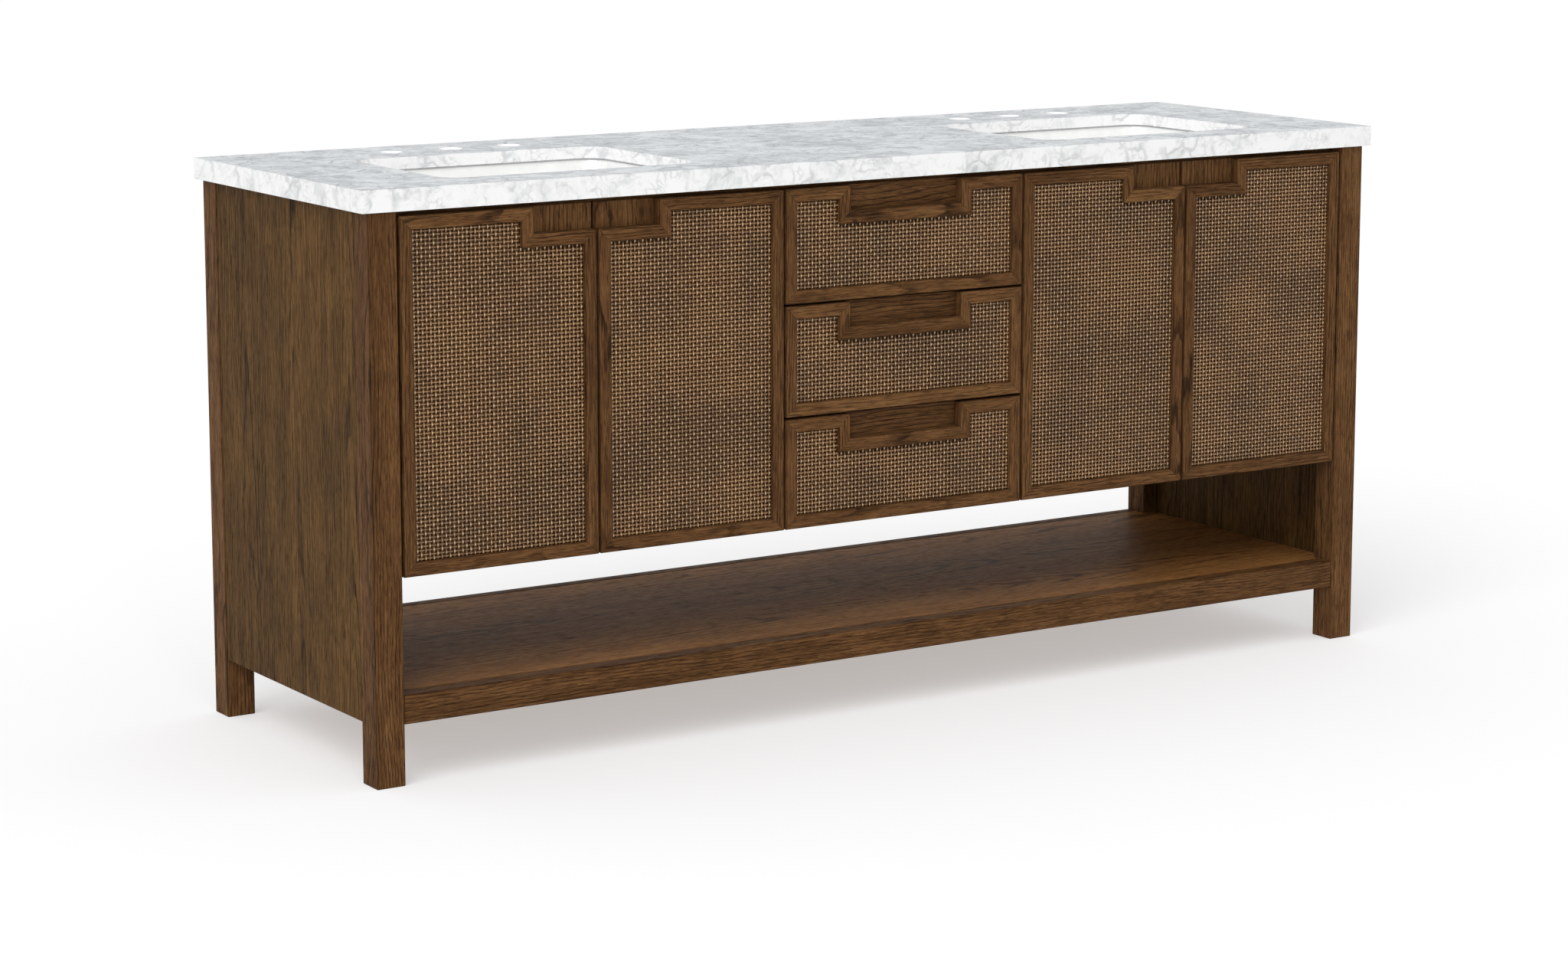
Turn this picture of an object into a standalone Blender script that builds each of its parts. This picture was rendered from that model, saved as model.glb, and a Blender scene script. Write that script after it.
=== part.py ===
"""Double-basin bathroom vanity cabinet.

A post-and-panel wooden cabinet carries a stone top with two undermounted basins. Four hinged
doors and three drawers, each a thin notched frame around a cane panel, close its upper part, and
an open shelf runs between the legs. Metres, +Z up, +X to the right, -Y to the front. The origin
is on the floor under the middle of the stone top.
"""

import math

import bmesh
import bpy

# Overall size and stone top
WIDTH = 1.829
DEPTH = 0.559
HEIGHT = 0.851
TOP_THICKNESS = 0.032
SLAB = 0.018
BUILT_UP_EDGE = 0.050
SIDE_OVERHANG = 0.0115
FRONT_OVERHANG = 0.007
REAR_OVERHANG = 0.005

# Basins and tap holes
BASIN_X = 0.528
BASIN_Y = -0.042
CUTOUT_WIDTH = 0.420
CUTOUT_DEPTH = 0.308
CUTOUT_RADIUS = 0.035
BOWL_REVEAL = 0.003
BOWL_DEPTH = 0.145
BOWL_DRAFT = 0.022
BOWL_WALL = 0.010
BOWL_FILLET = 0.030
FLANGE_WIDTH = 0.024
FLANGE_THICKNESS = 0.012
DRAIN_RADIUS = 0.0225
TAP_HOLE_Y = 0.1925
TAP_HOLE_SPACING = 0.1016
TAP_HOLE_RADIUS = 0.0175

# Carcass
POST = 0.045
PANEL = 0.018
PANEL_INSET = 0.001
SIDE_BOTTOM = 0.0895
SHELF_TOP = 0.1315
SHELF_RAIL_HEIGHT = 0.0425
SHELF_FRONT_RAIL = 0.028
SHELF_REAR_RAIL = 0.020
SHELF_GROOVE = 0.0015
FLOOR_BOTTOM = 0.3025
TOP_RAIL_HEIGHT = 0.060
BACK_THICKNESS = 0.009
BACK_INSET = 0.005
PARTITION_X = 0.21825
PLUMBING_WIDTH = 0.260
PLUMBING_BOTTOM = 0.440
PLUMBING_TOP = 0.640

# Doors and drawer fronts
FRONT_SETBACK = 0.0005
FRONT_BOTTOM = 0.3005
FRONT_TOP = 0.8115
REVEAL = 0.0035
DRAWER_HALF_WIDTH = 0.2165
DRAWER_HEIGHTS = {"drawer_top": 0.1715, "drawer_middle": 0.1665, "drawer_bottom": 0.166}
MEMBER = 0.020
FRAME_THICKNESS = 0.015
CANE_SETBACK = 0.0035
BACKING = 0.009
NOTCH_DEPTH = 0.0375
DOOR_NOTCH = 0.102
DRAWER_NOTCH = 0.202
CARCASS_CLEARANCE = 0.0022

# Hinges, drawer boxes and slides
CUP_RADIUS = 0.0175
CUP_FLANGE_RADIUS = 0.0185
CUP_FLANGE = 0.0012
CUP_HOLLOW_RADIUS = 0.0155
CUP_HOLLOW_DEPTH = 0.0075
CUP_FROM_EDGE = 0.0240
CUP_FROM_END = 0.085
BOX_SIDE_CLEARANCE = 0.013
BOX_LENGTH = 0.400
BOX_WALL = 0.012
BOX_LIFT = 0.025
BOX_HEIGHTS = {"drawer_top": 0.088, "drawer_middle": 0.115, "drawer_bottom": 0.115}
SLIDE_LENGTH = 0.400
SLIDE_HEIGHT = 0.045
SLIDE_DEPTH = 0.0065
SLIDE_GAUGE = 0.0015

GAP = 0.0003
SOFT_EDGE = 0.0012
STONE_EDGE = 0.0015
WELD = 0.00005

# Derived planes
TOP_UNDERSIDE = HEIGHT - TOP_THICKNESS
SLAB_UNDERSIDE = HEIGHT - SLAB
CARCASS_TOP = TOP_UNDERSIDE - GAP
CABINET_HALF = WIDTH / 2 - SIDE_OVERHANG
CABINET_FRONT = -DEPTH / 2 + FRONT_OVERHANG
CABINET_REAR = DEPTH / 2 - REAR_OVERHANG
POST_INNER = CABINET_HALF - POST
SIDE_OUTER = CABINET_HALF - PANEL_INSET
SIDE_INNER = SIDE_OUTER - PANEL
FRONT_FACE = CABINET_FRONT + FRONT_SETBACK
BACKING_FRONT = FRONT_FACE + FRAME_THICKNESS + GAP
BACKING_REAR = BACKING_FRONT + BACKING
CARCASS_FRONT = BACKING_REAR + CARCASS_CLEARANCE
BACK_REAR = CABINET_REAR - BACK_INSET
BACK_FRONT = BACK_REAR - BACK_THICKNESS
TOP_RAIL_BOTTOM = CARCASS_TOP - TOP_RAIL_HEIGHT
FLOOR_TOP = FLOOR_BOTTOM + PANEL
DOOR_OUTER = POST_INNER - REVEAL
DOOR_INNER = DRAWER_HALF_WIDTH + REVEAL
DOOR_WIDTH = (DOOR_OUTER - DOOR_INNER - REVEAL) / 2
BAY_HALF = PARTITION_X - PANEL / 2
BOX_HALF = BAY_HALF - BOX_SIDE_CLEARANCE
BOX_FRONT = BACKING_REAR + GAP

WOOD = ("walnut_stained_oak", (0.115, 0.060, 0.028), 0.50, 0.0)
WOOD_INSIDE = ("cabinet_interior", (0.170, 0.095, 0.050), 0.60, 0.0)
CANE = ("woven_cane", (0.290, 0.190, 0.105), 0.65, 0.0)
STONE = ("veined_marble", (0.760, 0.775, 0.785), 0.18, 0.0)
CERAMIC = ("white_ceramic", (0.880, 0.880, 0.870), 0.08, 0.0)
STEEL = ("hardware_steel", (0.550, 0.550, 0.560), 0.32, 1.0)


def clear_scene():
    for item in list(bpy.data.objects):
        bpy.data.objects.remove(item, do_unlink=True)


def new_collection(name):
    collection = bpy.data.collections.new(name)
    bpy.context.scene.collection.children.link(collection)
    return collection


def paint(item, look):
    """Give the object a Principled material of its own."""
    kind, colour, roughness, metallic = look
    material = bpy.data.materials.new(f"{item.name}_{kind}")
    material.use_nodes = True
    shader = material.node_tree.nodes["Principled BSDF"]
    shader.inputs["Base Color"].default_value = (*colour, 1.0)
    shader.inputs["Roughness"].default_value = roughness
    shader.inputs["Metallic"].default_value = metallic
    item.data.materials.append(material)


def soften(item, width):
    bevel = item.modifiers.new("soft_edges", "BEVEL")
    bevel.width = width
    bevel.segments = 1
    bevel.limit_method = "ANGLE"
    bevel.angle_limit = math.radians(40)


def move_to(item, collection):
    for holder in list(item.users_collection):
        holder.objects.unlink(item)
    collection.objects.link(item)


def block(name, low, high, look=None, edge=SOFT_EDGE):
    """A rectangular board between two opposite corners, with softened edges."""
    size = [high[axis] - low[axis] for axis in range(3)]
    middle = [(high[axis] + low[axis]) / 2 for axis in range(3)]
    bpy.ops.mesh.primitive_cube_add(size=1, location=middle, scale=size)
    item = bpy.context.object
    item.name = name
    item.data.name = name
    bpy.ops.object.transform_apply(location=False, rotation=False, scale=True)
    move_to(item, PARTS)
    if edge:
        soften(item, edge)
    if look:
        paint(item, look)
    return item


TURNS = {"X": (math.pi / 2, 0, math.pi / 2), "Y": (math.pi / 2, 0, 0), "Z": (0, 0, 0)}


def plate(name, loops, axis, start, end, look, edge=SOFT_EDGE):
    """A flat outline, with any holes, extruded along an axis from start to end.

    Loops are in (y, z) for axis X, (x, z) for axis Y and (x, y) for axis Z.
    """
    curve = bpy.data.curves.new(name, "CURVE")
    curve.dimensions = "2D"
    curve.fill_mode = "BOTH"
    curve.extrude = (end - start) / 2
    for loop in loops:
        spline = curve.splines.new("POLY")
        spline.points.add(len(loop) - 1)
        for point, (across, up) in zip(spline.points, loop):
            point.co = (across, up, 0, 1)
        spline.use_cyclic_u = True
    item = bpy.data.objects.new(name, curve)
    PARTS.objects.link(item)
    item.rotation_euler = TURNS[axis]
    item.location["XYZ".index(axis)] = (start + end) / 2
    weld = item.modifiers.new("weld_caps", "WELD")
    weld.merge_threshold = WELD
    if edge:
        soften(item, edge)
    paint(item, look)
    return item


def rectangle(left, right, bottom, top):
    return [(left, bottom), (right, bottom), (right, top), (left, top)]


def circle(across, up, radius, steps=24):
    turns = [2 * math.pi * step / steps for step in range(steps)]
    return [(across + radius * math.cos(turn), up + radius * math.sin(turn)) for turn in turns]


def rounded_rectangle(across, up, width, height, radius, steps=6):
    points = []
    for corner, (side, end) in enumerate(((1, 1), (-1, 1), (-1, -1), (1, -1))):
        centre = (across + side * (width / 2 - radius), up + end * (height / 2 - radius))
        for step in range(steps + 1):
            turn = (corner + step / steps) * math.pi / 2
            points.append((centre[0] + radius * math.cos(turn), centre[1] + radius * math.sin(turn)))
    return points


def tapered_block(name, top_size, bottom_size, top, bottom, radius, fillet, collection):
    """A block that narrows downwards, with rounded upright corners and a rounded lower rim."""
    mesh = bpy.data.meshes.new(name)
    shape = bmesh.new()
    bmesh.ops.create_cube(shape, size=1)
    for vertex in shape.verts:
        size = top_size if vertex.co.z > 0 else bottom_size
        vertex.co.x *= size[0]
        vertex.co.y *= size[1]
        vertex.co.z = top if vertex.co.z > 0 else bottom
    uprights = [edge for edge in shape.edges if abs(edge.verts[0].co.z - edge.verts[1].co.z) > 1e-4]
    bmesh.ops.bevel(shape, geom=uprights, offset=radius, segments=6, profile=0.5, affect="EDGES")
    if fillet:
        rim = [edge for edge in shape.edges if all(abs(v.co.z - bottom) < 1e-5 for v in edge.verts)]
        bmesh.ops.bevel(shape, geom=rim, offset=fillet, segments=4, profile=0.5, affect="EDGES")
    shape.to_mesh(mesh)
    shape.free()
    item = bpy.data.objects.new(name, mesh)
    collection.objects.link(item)
    return item


def as_cutter(item):
    item.hide_render = True
    item.display_type = "WIRE"
    return item


def combine(item, other, operation):
    boolean = item.modifiers.new(operation.lower(), "BOOLEAN")
    boolean.operation = operation
    boolean.solver = "EXACT"
    boolean.object = other


def as_mesh(item):
    """Replace a curve plate by a welded mesh of the same shape, so that it can be cut."""
    bpy.context.view_layer.update()
    mesh = bpy.data.meshes.new_from_object(item.evaluated_get(bpy.context.evaluated_depsgraph_get()))
    shape = bmesh.new()
    shape.from_mesh(mesh)
    bmesh.ops.remove_doubles(shape, verts=shape.verts, dist=WELD)
    shape.to_mesh(mesh)
    shape.free()
    name = item.name
    solid = bpy.data.objects.new(name, mesh)
    solid.matrix_world = item.matrix_world
    bpy.data.objects.remove(item)
    solid.name = name
    PARTS.objects.link(solid)
    return solid


def countertop():
    """A thin slab, cut out for the basins, whose edges are built up to look thicker."""
    loops = [rectangle(-WIDTH / 2, WIDTH / 2, -DEPTH / 2, DEPTH / 2)]
    for side in (-1, 1):
        centre = side * BASIN_X
        loops.append(rounded_rectangle(centre, BASIN_Y, CUTOUT_WIDTH, CUTOUT_DEPTH, CUTOUT_RADIUS))
        for place in (-1, 0, 1):
            loops.append(circle(centre + place * TAP_HOLE_SPACING, TAP_HOLE_Y, TAP_HOLE_RADIUS))
    stone = as_mesh(plate("countertop", loops, "Z", TOP_UNDERSIDE, HEIGHT, STONE, 0))
    reach = (WIDTH / 2 - BUILT_UP_EDGE, DEPTH / 2 - BUILT_UP_EDGE)
    recess = block("countertop_recess", (-reach[0], -reach[1], TOP_UNDERSIDE - TOP_THICKNESS),
                   (reach[0], reach[1], SLAB_UNDERSIDE), edge=0)
    move_to(as_cutter(recess), CUTTERS)
    combine(stone, recess, "DIFFERENCE")
    soften(stone, STONE_EDGE)


def basin(name, centre):
    """An undermounted bowl: a flange under the stone, tapered walls and a waste hole."""
    top = SLAB_UNDERSIDE - GAP
    mouth = (CUTOUT_WIDTH + 2 * BOWL_REVEAL, CUTOUT_DEPTH + 2 * BOWL_REVEAL)
    foot = tuple(size - 2 * BOWL_DRAFT for size in mouth)
    outer_mouth = tuple(size + 2 * BOWL_WALL for size in mouth)
    outer_foot = tuple(size + 2 * BOWL_WALL for size in foot)
    flange = tuple(size + 2 * FLANGE_WIDTH for size in mouth)
    low = top - BOWL_DEPTH
    item = tapered_block(name, outer_mouth, outer_foot, top - GAP, low - BOWL_WALL,
                         CUTOUT_RADIUS + BOWL_WALL, BOWL_FILLET, PARTS)
    rim = as_cutter(tapered_block(f"{name}_rim", flange, flange, top, top - FLANGE_THICKNESS,
                                  CUTOUT_RADIUS + FLANGE_WIDTH, 0, CUTTERS))
    hollow = as_cutter(tapered_block(f"{name}_hollow", mouth, foot, top + BOWL_WALL, low,
                                     CUTOUT_RADIUS, BOWL_FILLET, CUTTERS))
    bpy.ops.mesh.primitive_cylinder_add(vertices=24, radius=DRAIN_RADIUS, depth=4 * BOWL_WALL,
                                        location=(centre, BASIN_Y, low))
    waste = as_cutter(bpy.context.object)
    waste.name = f"{name}_waste"
    move_to(waste, CUTTERS)
    for piece in (item, rim, hollow):
        piece.location = (centre, BASIN_Y, 0)
    combine(item, rim, "UNION")
    combine(item, hollow, "DIFFERENCE")
    combine(item, waste, "DIFFERENCE")
    paint(item, CERAMIC)
    item.data.shade_smooth()
    item.data.set_sharp_from_angle(angle=math.radians(40))


def posts():
    for end, low, high in (("front", CABINET_FRONT, CABINET_FRONT + POST),
                           ("rear", CABINET_REAR - POST, CABINET_REAR)):
        block(f"post_{end}_left", (-CABINET_HALF, low, 0), (-POST_INNER, high, CARCASS_TOP), WOOD)
        block(f"post_{end}_right", (POST_INNER, low, 0), (CABINET_HALF, high, CARCASS_TOP), WOOD)


def side_panels():
    front = CABINET_FRONT + POST + GAP
    rear = CABINET_REAR - POST - GAP
    block("side_panel_left", (-SIDE_OUTER, front, SIDE_BOTTOM), (-SIDE_INNER, rear, CARCASS_TOP), WOOD)
    block("side_panel_right", (SIDE_INNER, front, SIDE_BOTTOM), (SIDE_OUTER, rear, CARCASS_TOP), WOOD)


def board_around_posts(name, bottom, top, front, rear):
    """A horizontal board that fills the plan between the side panels, notched at the posts."""
    wide = SIDE_INNER - GAP
    narrow = POST_INNER - GAP
    front_notch = CABINET_FRONT + POST + GAP
    rear_notch = CABINET_REAR - POST - GAP
    right = [(narrow, front), (narrow, front_notch), (wide, front_notch),
             (wide, rear_notch), (narrow, rear_notch), (narrow, rear)]
    left = [(-across, along) for across, along in reversed(right)]
    plate(name, [right + left], "Z", bottom, top, WOOD)


def shelf():
    bottom = SHELF_TOP - SHELF_RAIL_HEIGHT
    reach = POST_INNER - GAP
    front = CABINET_FRONT + PANEL_INSET
    rear = CABINET_REAR - PANEL_INSET
    front_inner = front + SHELF_FRONT_RAIL
    rear_inner = rear - SHELF_REAR_RAIL
    block("shelf_front_rail", (-reach, front, bottom), (reach, front_inner, SHELF_TOP), WOOD)
    block("shelf_rear_rail", (-reach, rear_inner, bottom), (reach, rear, SHELF_TOP), WOOD)
    board_around_posts("lower_shelf", SHELF_TOP - PANEL, SHELF_TOP,
                       front_inner + SHELF_GROOVE, rear_inner - SHELF_GROOVE)


def carcass_inside():
    reach = POST_INNER - GAP
    rail_front = CARCASS_FRONT + PANEL
    rail_rear = BACK_FRONT - GAP - PANEL
    board_around_posts("cabinet_floor", FLOOR_BOTTOM, FLOOR_TOP, CARCASS_FRONT, BACK_FRONT - GAP)
    block("front_top_rail", (-reach, CARCASS_FRONT, TOP_RAIL_BOTTOM), (reach, rail_front, CARCASS_TOP), WOOD)
    block("rear_top_rail", (-reach, rail_rear, TOP_RAIL_BOTTOM),
          (reach, BACK_FRONT - GAP, CARCASS_TOP), WOOD)
    notch = TOP_RAIL_BOTTOM - GAP
    side = [(CARCASS_FRONT, FLOOR_TOP + GAP), (BACK_FRONT - GAP, FLOOR_TOP + GAP),
            (BACK_FRONT - GAP, notch), (rail_rear - GAP, notch),
            (rail_rear - GAP, CARCASS_TOP), (rail_front + GAP, CARCASS_TOP),
            (rail_front + GAP, notch), (CARCASS_FRONT, notch)]
    for name, place in (("partition_left", -PARTITION_X), ("partition_right", PARTITION_X)):
        plate(name, [side], "X", place - PANEL / 2, place + PANEL / 2, WOOD_INSIDE)


def back_panel():
    reach = POST_INNER - GAP
    loops = [rectangle(-reach, reach, FLOOR_BOTTOM, CARCASS_TOP)]
    for side in (-1, 1):
        middle = side * BASIN_X
        loops.append(rectangle(middle - PLUMBING_WIDTH / 2, middle + PLUMBING_WIDTH / 2,
                               PLUMBING_BOTTOM, PLUMBING_TOP))
    plate("back_panel", loops, "Y", BACK_FRONT, BACK_REAR, WOOD_INSIDE)


def notched(left, right, bottom, top, notch_left, notch_right, notch_floor):
    """A rectangle with a step cut out of its upper edge, which may reach either side."""
    points = [(left, bottom), (right, bottom)]
    if notch_right < right:
        points += [(right, top), (notch_right, top)]
    points += [(notch_right, notch_floor), (notch_left, notch_floor)]
    if notch_left > left:
        points += [(notch_left, top), (left, top)]
    return points


def inner_outline(left, right, bottom, top, notch_left, notch_right, inset):
    """The notched outline of a front, moved inwards by the inset on every side."""
    return notched(left + inset, right - inset, bottom + inset, top - inset,
                   max(notch_left - inset, left + inset), min(notch_right + inset, right - inset),
                   top - NOTCH_DEPTH - inset)


def joint_empty(name, place):
    empty = bpy.data.objects.new(name, None)
    empty.empty_display_size = 0.05
    empty.location = place
    PARTS.objects.link(empty)
    return empty


def attach(pieces, empty):
    for piece in pieces:
        piece.parent = empty
        for axis in range(3):
            piece.location[axis] -= empty.location[axis]


def front_layers(name, left, right, bottom, top, notch_left, notch_right, holes):
    """The three layers of a door or drawer front: notched frame, cane panel and backing board."""
    outline = notched(left, right, bottom, top, notch_left, notch_right, top - NOTCH_DEPTH)
    opening = inner_outline(left, right, bottom, top, notch_left, notch_right, MEMBER)
    cane = inner_outline(left, right, bottom, top, notch_left, notch_right, MEMBER + GAP)
    frame_rear = FRONT_FACE + FRAME_THICKNESS
    return [
        plate(f"{name}_frame", [outline, opening], "Y", FRONT_FACE, frame_rear, WOOD),
        plate(f"{name}_cane", [cane], "Y", FRONT_FACE + CANE_SETBACK, frame_rear, CANE),
        plate(f"{name}_backing", [rectangle(left, right, bottom, top), *holes], "Y",
              BACKING_FRONT, BACKING_REAR, WOOD, 0),
    ]


def hinge_cup(name, across, up):
    """A cup hinge's cup, turned about a front-to-back axis, flanged on the door's inner face."""
    depth = BACKING - GAP
    profile = [(0, 0), (CUP_RADIUS, 0), (CUP_RADIUS, depth + GAP + GAP),
               (CUP_FLANGE_RADIUS, depth + GAP + GAP), (CUP_FLANGE_RADIUS, depth + CUP_FLANGE),
               (CUP_HOLLOW_RADIUS, depth + CUP_FLANGE),
               (CUP_HOLLOW_RADIUS, depth + CUP_FLANGE - CUP_HOLLOW_DEPTH),
               (0, depth + CUP_FLANGE - CUP_HOLLOW_DEPTH)]
    mesh = bpy.data.meshes.new(name)
    shape = bmesh.new()
    corners = [shape.verts.new((radius, 0, -along)) for radius, along in profile]
    for first, second in zip(corners, corners[1:]):
        shape.edges.new((first, second))
    shape.to_mesh(mesh)
    shape.free()
    item = bpy.data.objects.new(name, mesh)
    PARTS.objects.link(item)
    turned = item.modifiers.new("turned", "SCREW")
    turned.steps = 16
    turned.render_steps = 16
    turned.use_merge_vertices = True
    turned.merge_threshold = WELD
    item.rotation_euler = (math.pi / 2, 0, 0)
    item.location = (across, BACKING_FRONT + GAP, up)
    paint(item, STEEL)
    return item


def door(name, left, hinge_on_left, notch_on_left):
    right = left + DOOR_WIDTH
    notch_left = left if notch_on_left else right - DOOR_NOTCH
    notch_right = left + DOOR_NOTCH if notch_on_left else right
    across = left + CUP_FROM_EDGE if hinge_on_left else right - CUP_FROM_EDGE
    heights = {"lower": FRONT_BOTTOM + CUP_FROM_END, "upper": FRONT_TOP - CUP_FROM_END}
    holes = [circle(across, up, CUP_RADIUS + GAP) for up in heights.values()]
    pieces = front_layers(name, left, right, FRONT_BOTTOM, FRONT_TOP, notch_left, notch_right, holes)
    pieces += [hinge_cup(f"{name}_cup_{end}", across, up) for end, up in heights.items()]
    edge = left if hinge_on_left else right
    attach(pieces, joint_empty(f"{name}_hinge_axis", (edge, FRONT_FACE, (FRONT_BOTTOM + FRONT_TOP) / 2)))


def doors():
    """Each pair hinges on its outer edges and meets in the middle, where the notches are."""
    door("door_1", -DOOR_OUTER, True, False)
    door("door_2", -DOOR_INNER - DOOR_WIDTH, False, True)
    door("door_3", DOOR_INNER, True, False)
    door("door_4", DOOR_OUTER - DOOR_WIDTH, False, True)


def drawer_box(name, bottom, height):
    """An open-topped box: five sides of a cube, thickened inwards."""
    item = block(f"{name}_box", (-BOX_HALF, BOX_FRONT, bottom),
                 (BOX_HALF, BOX_FRONT + BOX_LENGTH, bottom + height), edge=0)
    shape = bmesh.new()
    shape.from_mesh(item.data)
    lid = [face for face in shape.faces if face.normal.z > 0.9]
    bmesh.ops.delete(shape, geom=lid, context="FACES_ONLY")
    shape.to_mesh(item.data)
    shape.free()
    walls = item.modifiers.new("walls", "SOLIDIFY")
    walls.thickness = BOX_WALL
    walls.offset = -1
    walls.use_even_offset = True
    soften(item, SOFT_EDGE)
    paint(item, WOOD_INSIDE)
    return item


def slide_rails(name, middle):
    """The two cabinet-side members of a drawer's slides, channels that open towards the box."""
    outer = BAY_HALF - GAP
    inner = outer - SLIDE_DEPTH
    web = outer - SLIDE_GAUGE
    low = middle - SLIDE_HEIGHT / 2
    high = middle + SLIDE_HEIGHT / 2
    channel = [(outer, low), (outer, high), (inner, high), (inner, high - SLIDE_GAUGE),
               (web, high - SLIDE_GAUGE), (web, low + SLIDE_GAUGE), (inner, low + SLIDE_GAUGE),
               (inner, low)]
    mirrored = [(-across, up) for across, up in reversed(channel)]
    start = CARCASS_FRONT + GAP
    plate(f"{name}_slide_left", [mirrored], "Y", start, start + SLIDE_LENGTH, STEEL, 0)
    plate(f"{name}_slide_right", [channel], "Y", start, start + SLIDE_LENGTH, STEEL, 0)


def drawers():
    top = FRONT_TOP
    for name, height in DRAWER_HEIGHTS.items():
        bottom = top - height
        pieces = front_layers(name, -DRAWER_HALF_WIDTH, DRAWER_HALF_WIDTH, bottom, top,
                              -DRAWER_NOTCH / 2, DRAWER_NOTCH / 2, [])
        box_bottom = bottom + BOX_LIFT
        pieces.append(drawer_box(name, box_bottom, BOX_HEIGHTS[name]))
        attach(pieces, joint_empty(f"{name}_slide_axis", (0, FRONT_FACE, (bottom + top) / 2)))
        slide_rails(name, box_bottom + BOX_HEIGHTS[name] / 2)
        top = bottom - REVEAL


clear_scene()
PARTS = new_collection("bathroom_vanity")
CUTTERS = new_collection("cutters")
countertop()
basin("sink_left", -BASIN_X)
basin("sink_right", BASIN_X)
posts()
side_panels()
shelf()
carcass_inside()
back_panel()
doors()
drawers()
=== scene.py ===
"""Looks of a double-basin bathroom vanity cabinet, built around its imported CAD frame."""

import math
import random

import bmesh
import bpy
import numpy as np
from mathutils import Matrix, Vector


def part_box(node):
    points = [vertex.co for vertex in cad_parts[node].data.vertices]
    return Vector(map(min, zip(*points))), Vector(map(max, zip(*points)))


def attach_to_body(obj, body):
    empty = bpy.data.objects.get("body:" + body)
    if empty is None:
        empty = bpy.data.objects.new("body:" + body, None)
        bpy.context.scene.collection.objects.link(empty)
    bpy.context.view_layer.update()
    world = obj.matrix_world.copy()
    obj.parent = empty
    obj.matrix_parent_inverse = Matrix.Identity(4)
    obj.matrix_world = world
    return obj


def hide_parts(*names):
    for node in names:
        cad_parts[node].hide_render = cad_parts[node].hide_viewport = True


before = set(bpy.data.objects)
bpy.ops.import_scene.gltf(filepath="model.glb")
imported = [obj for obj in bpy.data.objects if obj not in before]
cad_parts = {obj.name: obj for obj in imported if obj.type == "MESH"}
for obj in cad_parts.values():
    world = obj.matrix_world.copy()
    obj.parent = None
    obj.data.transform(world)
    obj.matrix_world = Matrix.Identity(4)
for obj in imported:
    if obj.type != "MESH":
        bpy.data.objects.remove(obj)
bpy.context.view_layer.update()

# Lengths are metres and angles radians, unless a name or a note says otherwise.

WHITE = (1.0, 1.0, 1.0, 1.0)

# Camera and light
CAMERA_PLACE = (-3.2226, -4.9339, 1.4065)
CAMERA_YAW = 0.5722
CAMERA_PITCH = 0.1623
CAMERA_LENS_MM = 86.74
CAMERA_SHIFT = -0.05
CAMERA_RANGE = 300
FLOOR_REACH = 80
FLOOR_GREY = 0.56
FLOOR_GLOW = 0.41
BACKDROP_STRENGTH = 0.80
SUN_STRENGTH = 1.31
SUN_WIDTH = 0.7
SUN_DIRECTION = (0.72, 0.50, -0.80)
SOFTBOX_PLACE = (-2.0, -4.4, 1.5)
SOFTBOX_TARGET = (0, 0, 0.5)
SOFTBOX_SIZE = 0.6
SOFTBOX_WATTS = 22

# Modelling: points this close are one, the usual bevel, and the steps in a rounded corner
SAME_PLACE = 1e-6
EASE = 0.0006
CORNER_STEPS = 12

# Fronts: frame members, the finger notches in their upper edges, and the cane in their openings
MEMBER = 0.020
NOTCH_DEPTH = 0.0375
DOOR_NOTCH = 0.102
DRAWER_NOTCH = 0.202
CANE_SETBACK = 0.0035
STRAND_PITCH_X = 0.0065
STRAND_PITCH_Z = 0.0060
STRAND_WIDTH = 0.0038
STRAND_CROWN = 0.0016
STRAND_THICKNESS = 0.0009
WEAVE_AMPLITUDE = 0.0007
WEAVE_STEPS = 3
STRAND_WIDTH_SPREAD = 0.045  # of the width
STRAND_DRIFT = 0.00010
STRAND_WOBBLE = 0.00012
STRAND_WOBBLE_RATE = (25, 60)  # radians a metre
STRAND_WOBBLE_PHASE = 6.3
STRAND_FIBRE_PHASE = 40
STRAND_END_CLEARANCE = 0.2  # of a step
GROUND_SETBACK = 0.0075

# Wood: boards are glued up from staves, and each comes from its own place near its tree's pith.
# The scatters and stave steps take each board and stave to its own part of the noise.
STAVE_WIDTH = 0.170
STAVE_STEP = 0.73
STAVE_TONE_STEP = 3.7
RINGS_PER_METRE = 190.0
RING_SWAY_ACROSS = 0.036
RING_SWAY_THROUGH = 0.020
RING_RIPPLE = 0.0050
# How far in from an edge the wood darkens: dark glazing, and painted shade in the gaps between parts
GLAZE_AND_SHADE_EDGE = 0.0018
# The shelf's wider band paints the shade of the groove between the shelf and its front rail
SHELF_GLAZE_AND_SHADE_EDGE = 0.0050
FLAT_SAWN_OFFSET = 0.3  # of the board's half width
FLAT_SAWN_DEPTH = (0.05, 0.09)
QUARTER_SAWN_OFFSET = (0.10, 0.22)
QUARTER_SAWN_DEPTH = (0.03, 0.06)
PITH_TILT = (0.02, 0.045)
PIECE_SCATTER = (61.0, 37.0, 53.0)
TONE_SCATTER = (97.0, 83.0, 71.0)

# Stone and basins
SLAB = 0.018
BUILT_UP_EDGE = 0.050
STONE_EASE = 0.0018
STONE_EASE_ANGLE = math.radians(40)
STONE_WELD = 0.00005
STONE_UPWARD = 0.95  # least height of an upward face's normal
CUTOUT_WIDTH = 0.420
CUTOUT_DEPTH = 0.308
CUTOUT_RADIUS = 0.035
BASIN_Y = -0.042
TAP_HOLE_Y = 0.1925
TAP_HOLE_SPACING = 0.1016
TAP_HOLE_RADIUS = 0.0175
TAP_HOLE_STEPS = 10
BOWL_REVEAL = 0.003
BOWL_DEPTH = 0.145
BOWL_DRAFT = 0.022
BOWL_WALL = 0.010
BOWL_FILLET = 0.030
BOWL_SOFT_EDGE = 0.003
BOWL_SHARP_ANGLE = math.radians(50)
SEAL_SHARP_ANGLE = math.radians(60)
FLANGE_THICKNESS = 0.012

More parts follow.
